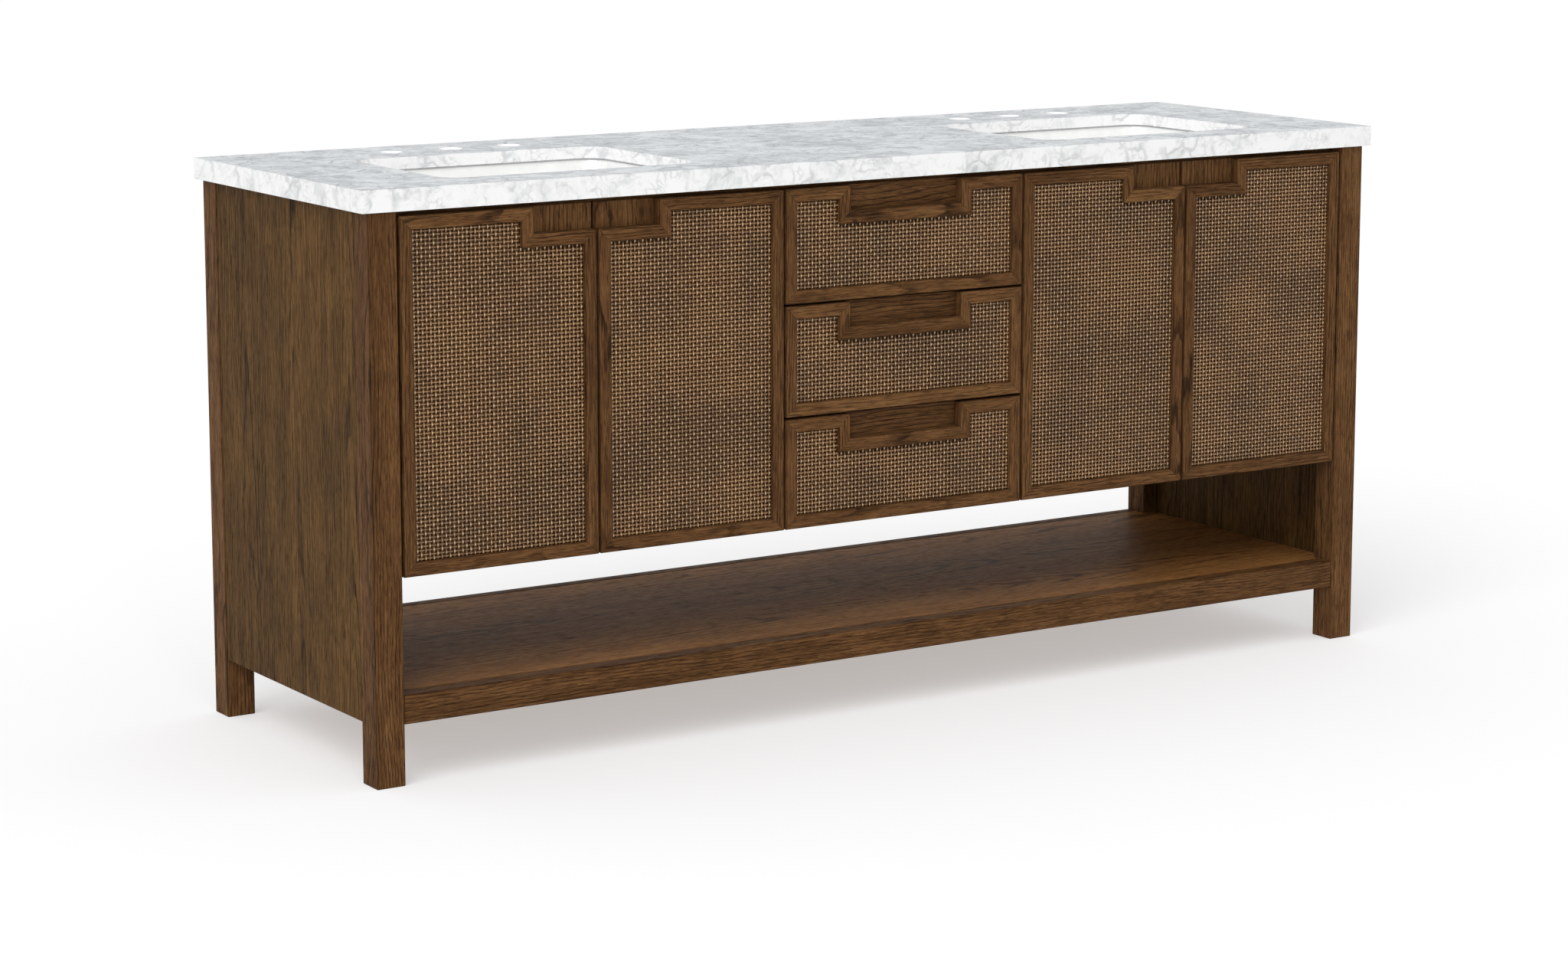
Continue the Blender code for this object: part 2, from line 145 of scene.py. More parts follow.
# The waste hole's rim, from the bowl's floor round to its underside: (radius, height over the floor)
DRAIN_RIM = ((0.040, -0.0020), (0.0260, -0.0032), (0.0238, -0.0040), (0.0225, -0.0060),
             (0.0225, -BOWL_WALL), (0.030, -BOWL_WALL))

# The bead of sealant in section: (distance outside the cutout, height over the bowl's flange)
SEAL_SECTION = ((0.0004, 0.0), (0.0004, -0.0006), (0.0012, -0.0012), (0.0028, -0.0015), (0.0028, 0.0))

# Drawer boxes and the slides' moving members
BOX_WALL = 0.012
BOX_BOTTOM_LIFT = 0.003
BOX_EASE = 0.001
RUNNER_GAP = 0.0002
RUNNER_IN_CHANNEL = 0.0035
RUNNER_GAUGE = 0.0014
RUNNER_HALF_HEIGHT = 0.016
RUNNER_SETBACK_FRONT = 0.004
RUNNER_SETBACK_REAR = 0.006
RUNNER_EASE = 0.0003

# The cabinet's half of a hinge in plan. Points are (distance from the wall, distance behind the
# carcass's front), apart from the arm's tip, whose first number is the distance short of the cup.
HINGE_PLATE = ((0.0002, 0.020), (0.0030, 0.020), (0.0030, 0.062), (0.0002, 0.062))
HINGE_ARM_NEAR = ((0.0034, 0.058), (0.0034, 0.016))
HINGE_ARM_TIP = ((0.0125, 0.0012), (0.0060, 0.0012))
HINGE_ARM_FAR = ((0.0110, 0.022), (0.0110, 0.058))
HINGE_PLATE_HALF_HEIGHT = 0.024
HINGE_ARM_HALF_HEIGHT = 0.008

DOORS = ("door_1", "door_2", "door_3", "door_4")
DRAWERS = ("drawer_top", "drawer_middle", "drawer_bottom")
SINKS = ("sink_left", "sink_right")
NOTCH_ON_LEFT = ("door_2", "door_4")

# The board that carries each door's hinges, and which end of its width they are on: 0 left, 1 right
HINGE_WALLS = {"door_1": ("post_front_left", 1), "door_2": ("partition_left", 0),
               "door_3": ("partition_right", 1), "door_4": ("post_front_right", 0)}


# ---------------------------------------------------------------- materials

class Nodes:
    """A short way to write a material's node tree. Inputs are numbers, tuples or sockets."""

    def __init__(self, name):
        self.material = bpy.data.materials.new(name)
        self.material.use_nodes = True
        self.tree = self.material.node_tree
        self.shader = self.tree.nodes["Principled BSDF"]

    def put(self, socket, value):
        if isinstance(value, bpy.types.NodeSocket):
            self.tree.links.new(value, socket)
        else:
            socket.default_value = value

    def add(self, kind, inputs, **settings):
        node = self.tree.nodes.new(kind)
        for name, value in settings.items():
            setattr(node, name, value)
        for name, value in inputs.items():
            self.put(node.inputs[name], value)
        return node

    def math(self, operation, *values):
        return self.add("ShaderNodeMath", dict(enumerate(values)), operation=operation).outputs[0]

    def vector(self, operation, *values):
        return self.add("ShaderNodeVectorMath", dict(enumerate(values)), operation=operation).outputs[0]

    def object_place(self):
        return self.add("ShaderNodeTexCoord", {}).outputs["Object"]

    def attribute(self, name):
        return self.add("ShaderNodeAttribute", {}, attribute_name=name).outputs["Vector"]

    def split(self, vector):
        return self.add("ShaderNodeSeparateXYZ", {0: vector}).outputs[:]

    def join(self, x, y, z):
        return self.add("ShaderNodeCombineXYZ", {0: x, 1: y, 2: z}).outputs[0]

    def noise(self, place, scale=1.0, detail=2.0, roughness=0.5):
        return self.add("ShaderNodeTexNoise", {"Vector": place, "Scale": scale, "Detail": detail,
                                               "Roughness": roughness}).outputs["Fac"]

    def remap(self, value, low, high, to_low=0.0, to_high=1.0):
        """Smoothly from to_low below low to to_high above high."""
        return self.add("ShaderNodeMapRange", {"Value": value, "From Min": low, "From Max": high,
                                               "To Min": to_low, "To Max": to_high},
                        interpolation_type="SMOOTHSTEP").outputs["Result"]

    def mix(self, share, first, second):
        """The first colour where share is 0, the second where it is 1."""
        node = self.tree.nodes.new("ShaderNodeMix")
        node.data_type = "RGBA"
        for index, value in ((0, share), (6, first), (7, second)):
            self.put(node.inputs[index], value)
        return node.outputs[2]

    def bump(self, height, strength, distance):
        return self.add("ShaderNodeBump", {"Height": height, "Strength": strength,
                                           "Distance": distance}).outputs["Normal"]

    def finish(self, **inputs):
        for name, value in inputs.items():
            self.put(self.shader.inputs[name.replace("_", " ")], value)
        return self.material


def colour(red, green, blue):
    """A display colour, 0 to 255, as the linear colour that a shader takes."""
    parts = [part / 255 for part in (red, green, blue)]
    return tuple(part / 12.92 if part <= 0.04045 else ((part + 0.055) / 1.055) ** 2.4
                 for part in parts) + (1.0,)


def wood(name, dark, middle, light, pore_and_edge_shade, grain=1.0, edge=GLAZE_AND_SHADE_EDGE):
    """Stained oak. Each board brings its own frame: along, across and through the grain."""
    n = Nodes(name)
    place = n.attribute("grain")
    board = n.attribute("board")
    along, across, through = n.split(place)
    stave = n.math("ROUND", n.math("DIVIDE", across, STAVE_WIDTH))
    pith_side, pith_depth, tilt = n.split(board)
    chance = n.noise(n.vector("ADD", n.vector("MULTIPLY", board, TONE_SCATTER),
                              n.join(n.math("MULTIPLY", stave, STAVE_TONE_STEP), 0.0, 0.0)), detail=0.0)
    shifted = n.vector("ADD", place, n.vector("MULTIPLY", board, PIECE_SCATTER))
    shifted = n.vector("ADD", shifted, n.join(0.0, n.math("MULTIPLY", stave, STAVE_STEP), 0.0))

    def stretched(lengthwise, crosswise):
        return n.vector("MULTIPLY", shifted, (lengthwise, crosswise, crosswise))

    # Growth rings round the pith, cut by the board's face. A ring opens with a band of large pores.
    sway = n.math("SUBTRACT", n.noise(stretched(2.4, 9.0), detail=2.0), 0.5)
    ripple = n.math("SUBTRACT", n.noise(stretched(16.0, 55.0), detail=3.0), 0.5)
    side = n.math("SUBTRACT", across, n.math("MULTIPLY", stave, STAVE_WIDTH))
    side = n.math("ADD", n.math("ADD", side, pith_side), n.math("MULTIPLY", sway, RING_SWAY_ACROSS))
    deep = n.math("ADD", n.math("ADD", through, pith_depth), n.math("MULTIPLY", along, tilt))
    deep = n.math("ADD", deep, n.math("MULTIPLY", sway, RING_SWAY_THROUGH))
    radius = n.math("SQRT", n.math("ADD", n.math("MULTIPLY", side, side), n.math("MULTIPLY", deep, deep)))
    radius = n.math("ADD", radius, n.math("MULTIPLY", ripple, RING_RIPPLE))
    season = n.math("FRACT", n.math("MULTIPLY", radius, RINGS_PER_METRE))
    early = n.math("MULTIPLY", n.remap(season, 0.0, 0.08), n.remap(season, 0.12, 0.44, 1.0, 0.0))
    dashes = n.remap(n.noise(stretched(30.0, 260.0), detail=2.0), 0.34, 0.58, 0.35, 1.0)
    early = n.math("MULTIPLY", n.math("MULTIPLY", early, dashes),
                   n.remap(n.noise(stretched(2.8, 24.0), detail=1.0), 0.34, 0.58, 0.25, 1.0))

    fine_pores = n.remap(n.noise(stretched(80.0, 1500.0), detail=1.0), 0.54, 0.62)
    long_pores = n.remap(n.noise(stretched(42.0, 640.0), detail=1.0), 0.56, 0.62)
    pores = n.math("MAXIMUM", n.math("MULTIPLY", fine_pores, 0.6), long_pores)
    fibres = n.noise(stretched(24.0, 520.0), detail=3.0, roughness=0.65)
    streaks = n.noise(stretched(3.2, 75.0), detail=3.0, roughness=0.6)
    stain = n.noise(stretched(7.0, 15.0), detail=4.0, roughness=0.6)

    tone = n.math("ADD", n.math("MULTIPLY", streaks, 0.30), n.math("MULTIPLY", fibres, 0.50))
    tone = n.math("ADD", tone, n.math("MULTIPLY", stain, 0.26))
    tone = n.math("ADD", tone, n.math("MULTIPLY", n.math("SUBTRACT", chance, 0.5), 0.20))
    body = n.mix(n.remap(tone, 0.38, 0.58), dark, middle)
    body = n.mix(n.remap(tone, 0.52, 0.72), body, light)
    body = n.mix(n.math("MULTIPLY", early, 0.80 * grain), body, pore_and_edge_shade)
    body = n.mix(n.math("MULTIPLY", pores, 0.52), body, pore_and_edge_shade)

    # Darker along the edges: partly a dark glazing, partly painted shade for the gaps and joints between
    # parts. Of a surface point's depths under the board's three pairs of faces, the least is 0 and the
    # middle one is the way to the nearest edge.
    half = n.attribute("half")
    inside = n.split(n.vector("SUBTRACT", half, n.vector("ABSOLUTE", place)))
    least = n.math("MINIMUM", n.math("MINIMUM", inside[0], inside[1]), inside[2])
    most = n.math("MAXIMUM", n.math("MAXIMUM", inside[0], inside[1]), inside[2])
    total = n.math("ADD", n.math("ADD", inside[0], inside[1]), inside[2])
    from_edge = n.math("SUBTRACT", total, n.math("ADD", least, most))
    glaze_and_shade = n.remap(from_edge, 0.0, edge, 0.60, 0.0)
    body = n.mix(glaze_and_shade, body, pore_and_edge_shade)

    height = n.math("SUBTRACT", n.math("MULTIPLY", fibres, 0.35), n.math("MAXIMUM", pores, early))
    rough = n.math("ADD", n.math("MULTIPLY", pores, 0.22), n.math("MULTIPLY", fibres, 0.12))
    return n.finish(Base_Color=body, Roughness=n.math("ADD", rough, 0.38),
                    Normal=n.bump(height, 0.35, 0.0003), Specular_IOR_Level=0.03)


def cane(name):
    """Split cane. Each strand is darker on its sides and where it passes behind another, and lighter on its
    high points, most on upright strands: partly a dark glazing rubbed off the high points, partly painted
    shade and a painted glint. The strand attribute holds the place along it, its tint and how far it
    stands forward. The section attribute holds how near the crown a point is, and whether its strand is
    upright."""
    n = Nodes(name)
    length, tint, lift = n.split(n.attribute("strand"))
    crown, upright, _ = n.split(n.attribute("section"))
    fibre = n.noise(n.join(n.math("MULTIPLY", length, 90.0), n.math("MULTIPLY", tint, 71.0), 0.0),
                    detail=3.0)
    blotch = n.noise(n.join(n.math("MULTIPLY", length, 14.0), n.math("MULTIPLY", tint, 23.0), 4.0),
                     detail=2.0)
    tone = n.math("ADD", n.math("MULTIPLY", fibre, 0.5), n.math("MULTIPLY", blotch, 0.5))
    tone = n.math("ADD", tone, n.math("MULTIPLY", n.math("SUBTRACT", tint, 0.5), 0.12))
    place = n.object_place()
    patch = n.math("SUBTRACT", n.noise(place, scale=9.0, detail=3.0), 0.5)
    tone = n.math("ADD", tone, n.math("MULTIPLY", patch, 1.1))
    ridge = n.remap(crown, 0.30, 1.0)
    body = n.mix(n.remap(tone, 0.25, 0.75), colour(91, 62, 33), colour(129, 92, 52))
    # Darker on the sides of each strand and where it passes behind another: glazing and painted shade
    body = n.mix(ridge, colour(80, 53, 28), body)
    body = n.mix(n.remap(lift, -1.0, 0.2, 0.80, 0.0), body, colour(46, 29, 15))
    # Lighter on the crests of the high points, most on upright strands: glazing rubbed off there, and a
    # painted glint
    wiped_glazing_and_glint = n.math("MULTIPLY", n.math("MULTIPLY", ridge, n.remap(lift, 0.35, 1.0)),
                   n.remap(fibre, 0.30, 0.62, 0.3, 1.0))
    wiped_glazing_and_glint = n.math("MULTIPLY", wiped_glazing_and_glint, n.math("ADD", n.math("MULTIPLY", upright, 0.62), 0.20))
    body = n.mix(wiped_glazing_and_glint, body, colour(210, 184, 148))
    return n.finish(Base_Color=body, Roughness=n.remap(fibre, 0.3, 0.7, 0.32, 0.44), Specular_IOR_Level=0.2,
                    Normal=n.bump(fibre, 0.2, 0.0002), Coat_Weight=0.5, Coat_Roughness=0.22)


def marble(name, white, grey, vein, cover, veining=1.0):
    """Brecciated marble: pale fragments of mixed tone, smoky clouds, and broken veins between them.
    A lower cover spreads the grey further."""
    n = Nodes(name)
    place = n.object_place()
    turned = n.add("ShaderNodeMapping", {"Vector": place, "Rotation": (0.5, 0.35, 0.30)}).outputs[0]

    def bend(vector, scale, reach):
        warp = n.add("ShaderNodeTexNoise", {"Vector": turned, "Scale": scale, "Detail": 3.0})
        warp = n.vector("SUBTRACT", warp.outputs["Color"], (0.5, 0.5, 0.5))
        return n.vector("ADD", vector, n.vector("MULTIPLY", warp, (reach, reach, reach)))

    bent = bend(bend(turned, 10.0, 0.09), 55.0, 0.022)

    def fragments(scale, **settings):
        return n.add("ShaderNodeTexVoronoi", {"Vector": bent, "Scale": scale}, **settings)

    def network(scale, width):
        gap = fragments(scale, feature="DISTANCE_TO_EDGE").outputs["Distance"]
        return n.remap(gap, 0.0, width, 1.0, 0.0)

    clouds = n.noise(bent, scale=13.0, detail=5.0, roughness=0.6)
    mottle = n.noise(bent, scale=85.0, detail=4.0, roughness=0.65)
    large = n.split(fragments(24.0).outputs["Color"])[0]
    small = n.split(fragments(70.0).outputs["Color"])[0]
    share = n.math("ADD", n.math("MULTIPLY", clouds, 0.55), n.math("MULTIPLY", mottle, 0.35))
    share = n.math("ADD", share, n.math("MULTIPLY", n.math("SUBTRACT", large, 0.5), 0.10))
    share = n.math("ADD", share, n.math("MULTIPLY", n.math("SUBTRACT", small, 0.5), 0.08))
    body = n.mix(n.remap(share, cover - 0.11, cover + 0.15), white, grey)
    coarse = n.math("MULTIPLY", network(24.0, 0.11),
                    n.remap(n.noise(turned, scale=17.0, detail=3.0), 0.44, 0.62))
    fine = n.math("MULTIPLY", network(70.0, 0.16),
                  n.remap(n.noise(turned, scale=33.0, detail=3.0), 0.46, 0.64))
    lines = n.math("MAXIMUM", n.math("MULTIPLY", coarse, 0.85), n.math("MULTIPLY", fine, 0.60))
    body = n.mix(n.math("MULTIPLY", lines, veining), body, vein)
    crystal = n.noise(place, scale=900.0, detail=1.0)
    body = n.mix(n.math("MULTIPLY", crystal, 0.06), body, grey)
    return n.finish(Base_Color=body, Roughness=n.remap(mottle, 0.3, 0.7, 0.22, 0.34),
                    Normal=n.bump(mottle, 0.02, 0.0005))


def porcelain():
    n = Nodes("porcelain_glaze")
    place = n.object_place()
    ripple = n.noise(place, scale=28.0, detail=2.0)
    body = n.mix(n.remap(ripple, 0.3, 0.7), colour(238, 239, 237), colour(246, 246, 245))
    return n.finish(Base_Color=body, Roughness=n.remap(ripple, 0.3, 0.7, 0.05, 0.10),
                    Normal=n.bump(ripple, 0.04, 0.001), Coat_Weight=0.4, Coat_Roughness=0.04)


def drilled():
    """The matt wall that a core drill leaves in the stone, painted near white and given a faint glow:
    painted light.
    """
    n = Nodes("marble_drilled")
    place = n.object_place()
    grit = n.noise(place, scale=700.0, detail=2.0)
    body = n.mix(n.remap(grit, 0.3, 0.7), colour(247, 248, 248), colour(252, 252, 252))
    return n.finish(Base_Color=body, Roughness=n.remap(grit, 0.3, 0.7, 0.55, 0.75),
                    Normal=n.bump(grit, 0.15, 0.0002), Emission_Color=WHITE, Emission_Strength=0.16)


def sealant():
    n = Nodes("grey_sealant")
    place = n.object_place()
    drag = n.noise(place, scale=240.0, detail=2.0)
    body = n.mix(n.remap(drag, 0.3, 0.7), colour(172, 174, 175), colour(194, 196, 197))
    return n.finish(Base_Color=body, Roughness=n.remap(drag, 0.3, 0.7, 0.40, 0.55),
                    Normal=n.bump(drag, 0.1, 0.0002))


def steel():
    n = Nodes("zinc_steel")
    place = n.object_place()
    brushed = n.noise(n.vector("MULTIPLY", place, (1200.0, 25.0, 1200.0)), detail=2.0)
    cloud = n.noise(place, scale=60.0, detail=2.0)
    body = n.mix(cloud, colour(176, 177, 180), colour(205, 206, 208))
    return n.finish(Base_Color=body, Metallic=1.0, Roughness=n.remap(brushed, 0.3, 0.7, 0.22, 0.42),
                    Normal=n.bump(brushed, 0.15, 0.0001))


def floor_paint():
    n = Nodes("studio_floor")
    return n.finish(Base_Color=(FLOOR_GREY, FLOOR_GREY, FLOOR_GREY, 1.0), Roughness=0.9,
                    Specular_IOR_Level=0.0, Emission_Color=WHITE, Emission_Strength=FLOOR_GLOW)


OAK = wood("walnut_stained_oak", colour(75, 50, 29), colour(100, 69, 41), colour(123, 89, 55),
           colour(26, 15, 8))
# A darker copy of the oak for the side panels, to offset the light on their outer faces: painted shade
OAK_PANEL_PAINTED_SHADE = wood("walnut_stained_panel", colour(61, 42, 20), colour(88, 62, 31), colour(111, 81, 42),
                 colour(24, 14, 6))
# A lighter copy of the oak for the lower shelf: painted light and sheen
OAK_SHELF_PAINTED_LIGHT = wood("walnut_stained_shelf", colour(119, 79, 42), colour(147, 101, 56), colour(168, 119, 69),
                 colour(48, 29, 15), edge=SHELF_GLAZE_AND_SHADE_EDGE)
OAK_INSIDE = wood("oak_interior", colour(64, 42, 24), colour(96, 68, 41), colour(122, 90, 56),
                  colour(34, 21, 12), grain=0.7)
OAK_GROUND = wood("oak_behind_cane", colour(70, 46, 26), colour(98, 68, 40), colour(122, 88, 54),
                  colour(44, 28, 15))
CANE = cane("glazed_cane")
# The top is greyer with denser veins, and darker than the edges as painted shade
MARBLE_TOP_PAINTED_SHADE = marble("marble_top", colour(214, 218, 220), colour(162, 168, 172), colour(124, 131, 137),
                    cover=0.45)
MARBLE_EDGE = marble("marble_edge", colour(229, 230, 229), colour(198, 200, 201), colour(156, 158, 160),
                     cover=0.53, veining=0.6)
# The cutout walls are a lighter copy of the edge marble: painted light
MARBLE_CUTOUT_PAINTED_LIGHT = marble("marble_cutout", colour(248, 248, 248), colour(220, 222, 224),
                       colour(184, 188, 192), cover=0.55, veining=0.7)
DRILLED_PAINTED_LIGHT = drilled()
STONE_LOOKS = (MARBLE_TOP_PAINTED_SHADE, MARBLE_EDGE, MARBLE_CUTOUT_PAINTED_LIGHT, DRILLED_PAINTED_LIGHT)
PORCELAIN = porcelain()
SEALANT = sealant()
STEEL = steel()


# ---------------------------------------------------------------- boards

def board_facts(name, points, grain, thin, flat_sawn=None):
    """Each point in its board's own frame, the board's half sizes, and where its tree's pith lay.
    That frame's axes are along the grain, across it, and through the thin way."""
    along, through = "XYZ".index(grain), "XYZ".index(thin)
    order = [along, 3 - along - through, through]
    low, high = points.min(0), points.max(0)
    local = (points - (low + high) / 2)[:, order]
    half = ((high - low) / 2)[order]
    draw = random.Random(name)
    flat = draw.random() < 0.5 if flat_sawn is None else flat_sawn
    if flat:
        side = draw.uniform(-FLAT_SAWN_OFFSET, FLAT_SAWN_OFFSET) * half[1]
    else:
        side = draw.choice((-1, 1)) * draw.uniform(*QUARTER_SAWN_OFFSET)
    depth = draw.uniform(*(FLAT_SAWN_DEPTH if flat else QUARTER_SAWN_DEPTH))
    pith = (side, depth, draw.choice((-1, 1)) * draw.uniform(*PITH_TILT))
    count = len(points)
    return {"grain": local, "half": np.tile(half, (count, 1)), "board": np.tile(pith, (count, 1))}


def write_attributes(mesh, facts):
    for name, values in facts.items():
        layer = mesh.attributes.new(name, "FLOAT_VECTOR", "POINT")
        layer.data.foreach_set("vector", np.asarray(values, np.float32).ravel())


def dress(node, material):
    """Give a CAD node that stays its finish."""
    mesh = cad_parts[node].data
    mesh.materials.clear()
    mesh.materials.append(material)


def dress_board(node, grain, thin, material, flat_sawn):
    """Give a CAD board that stays its grain frame and finish."""
    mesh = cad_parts[node].data
    points = np.array([vertex.co for vertex in mesh.vertices], float)
    write_attributes(mesh, board_facts(node, points, grain, thin, flat_sawn))
    dress(node, material)


def to_3d(axis, across, up, level):
    """A point of a flat outline, set at a level along the axis that the outline faces."""
    return {"X": (level, across, up), "Y": (across, level, up), "Z": (across, up, level)}[axis]


def prism(outline, axis, start, end, edge):
    """A closed bevelled solid from a flat outline, as a list of points and a list of faces."""
    shape = bmesh.new()
    rings = [[shape.verts.new(to_3d(axis, across, up, level)) for across, up in outline]
             for level in (start, end)]
    shape.faces.new(rings[0])
    shape.faces.new(list(reversed(rings[1])))
    for first in range(len(outline)):
        second = (first + 1) % len(outline)
        shape.faces.new((rings[0][first], rings[1][first], rings[1][second], rings[0][second]))
    bmesh.ops.recalc_face_normals(shape, faces=shape.faces)
    if edge:
        bmesh.ops.bevel(shape, geom=list(shape.edges), offset=edge, segments=2, profile=0.5,
                        affect="EDGES", clamp_overlap=True)
    shape.verts.ensure_lookup_table()
    points = [tuple(vertex.co) for vertex in shape.verts]
    faces = [[vertex.index for vertex in face.verts] for face in shape.faces]
    shape.free()
    return points, faces


def rectangle(left, right, bottom, top):
    return [(left, bottom), (right, bottom), (right, top), (left, top)]


def new_object(name, mesh, material):
    item = bpy.data.objects.new(name, mesh)
    bpy.context.scene.collection.objects.link(item)
    if material:
        mesh.materials.append(material)
    return item


def flat_normals(item):
    """Smooth across the bevels while the broad faces stay flat."""
    item.data.shade_smooth()
    item.modifiers.new("flat_faces", "WEIGHTED_NORMAL")
    return item


def solids(name, parts, material, edge=EASE):
    """One object from several closed solids, each (outline, axis, start, end, grain, thin)."""
    points, faces = [], []
    facts = {"grain": [], "half": [], "board": []}
    for index, (outline, axis, start, end, grain, thin) in enumerate(parts):
        found, sides = prism(outline, axis, start, end, edge)
        faces += [[len(points) + corner for corner in side] for side in sides]
        points += found
        for key, values in board_facts(f"{name}{index}", np.array(found), grain, thin).items():
            facts[key].append(values)
    mesh = bpy.data.meshes.new(name)
    mesh.from_pydata(points, [], faces)
    write_attributes(mesh, {key: np.concatenate(values) for key, values in facts.items()})
    return flat_normals(new_object(name, mesh, material))


def attach(item, body, slot, *nodes):
    """Let the piece move with its body, and hide the CAD nodes that it stands for. The slot is not used."""
    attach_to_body(item, body)
    if nodes:
        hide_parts(*nodes)


# ---------------------------------------------------------------- fronts

def notched(left, right, bottom, top, notch_left, notch_right, notch_floor):
    """A rectangle with a step cut out of its upper edge, which may reach either side."""
    points = [(left, bottom), (right, bottom)]
    if notch_right < right:
        points += [(right, top), (notch_right, top)]
    points += [(notch_right, notch_floor), (notch_left, notch_floor)]
    if notch_left > left:
        points += [(notch_left, top), (left, top)]
    return points


class Front:
    """A door or drawer front's outline, read from its CAD frame."""

    def __init__(self, name):
        low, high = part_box(f"{name}_frame")
        self.name = name
        self.left, self.right, self.bottom, self.top = low.x, high.x, low.z, high.z
        self.face, self.rear = low.y, high.y
        if name in DRAWERS:
            middle = (low.x + high.x) / 2
            self.notch = (middle - DRAWER_NOTCH / 2, middle + DRAWER_NOTCH / 2)
        elif name in NOTCH_ON_LEFT:
            self.notch = (self.left, self.left + DOOR_NOTCH)
        else:
            self.notch = (self.right - DOOR_NOTCH, self.right)

    def outline(self, inset):
        """The front's outline, drawn in by the inset on every side."""
        left, right = self.left + inset, self.right - inset
        return notched(left, right, self.bottom + inset, self.top - inset,
                       max(self.notch[0] - inset, left), min(self.notch[1] + inset, right),
                       self.top - NOTCH_DEPTH - inset)


def front_frame(front):
    """The mitred frame, one member to each edge of the outline. The grain follows each member."""
    outer, inner = front.outline(0), front.outline(MEMBER)
    parts = []
    for first in range(len(outer)):
        second = (first + 1) % len(outer)
        level = abs(outer[first][1] - outer[second][1]) < SAME_PLACE
        corners = [outer[first], outer[second], inner[second], inner[first]]
        parts.append((corners, "Y", front.face, front.rear, "X" if level else "Z", "Y"))
    item = solids(f"{front.name}_mitred_frame", parts, OAK)
    attach(item, front.name, "stained_wood", f"{front.name}_frame")


def strands(numbers, centres, spans, pitch, first, upright, draw, level):
    """Ribbons of one direction, from each one's number in the weave, centre and ends. They wave forward
    and back as they cross the others, which start at first and are a pitch apart."""
    places, faces, facts, sections = [], [], [], []
    count = 0
    for index, (centre, (low, high)) in enumerate(zip(centres, spans)):
        step = pitch / WEAVE_STEPS
        inner = np.arange(math.ceil((low - first) / step + STRAND_END_CLEARANCE),
                          math.floor((high - first) / step - STRAND_END_CLEARANCE) + 1)
        along = np.concatenate(([low], first + inner * step, [high]))
        lift = (1 if upright else -1) * np.cos(np.pi * ((along - first) / pitch + numbers[index]))
        wobble = STRAND_WOBBLE * np.sin(along * draw.uniform(*STRAND_WOBBLE_RATE)
                                        + draw.uniform(0, STRAND_WOBBLE_PHASE))
        offset = centre + draw.normal(0, STRAND_DRIFT) + wobble
        size = 1 + draw.normal(0, STRAND_WIDTH_SPREAD)
        tint = draw.uniform(0, 1)
        phase = draw.uniform(0, STRAND_FIBRE_PHASE)
        for side, forward in ((-1, -1), (1, -1), (1, 1), (-1, 1)):
            width = STRAND_CROWN if forward < 0 else STRAND_WIDTH
            across = offset + side * width * size / 2
            deep = level - lift * WEAVE_AMPLITUDE + forward * STRAND_THICKNESS / 2
            places.append(np.stack((across, deep, along), 1))
            facts.append(np.stack((along + phase, np.full(len(along), tint), lift), 1))
            sections.append(np.tile((forward < 0, upright, 0), (len(along), 1)))
        total = len(along)
        corner = count + total * np.arange(4)
        rows = np.arange(total - 1)
        for side in range(4):
            a, b = corner[side] + rows, corner[(side + 1) % 4] + rows
            faces.append(np.stack((a, b, b + 1, a + 1), 1))
        faces.append(corner[None, ::-1])
        faces.append(corner[None, :] + total - 1)
        count += 4 * total
    return [np.concatenate(part) for part in (places, faces, facts, sections)]


def quad_mesh(name, points, quads):
    """A mesh made in one go from arrays of points and four-cornered faces."""
    mesh = bpy.data.meshes.new(name)
    mesh.vertices.add(len(points))
    mesh.vertices.foreach_set("co", points.astype(np.float32).ravel())
    mesh.loops.add(quads.size)
    mesh.loops.foreach_set("vertex_index", quads.astype(np.int32).ravel())
    mesh.polygons.add(len(quads))
    mesh.polygons.foreach_set("loop_start", np.arange(0, quads.size, 4, dtype=np.int32))
    mesh.update(calc_edges=True)
    mesh.validate()
    return mesh


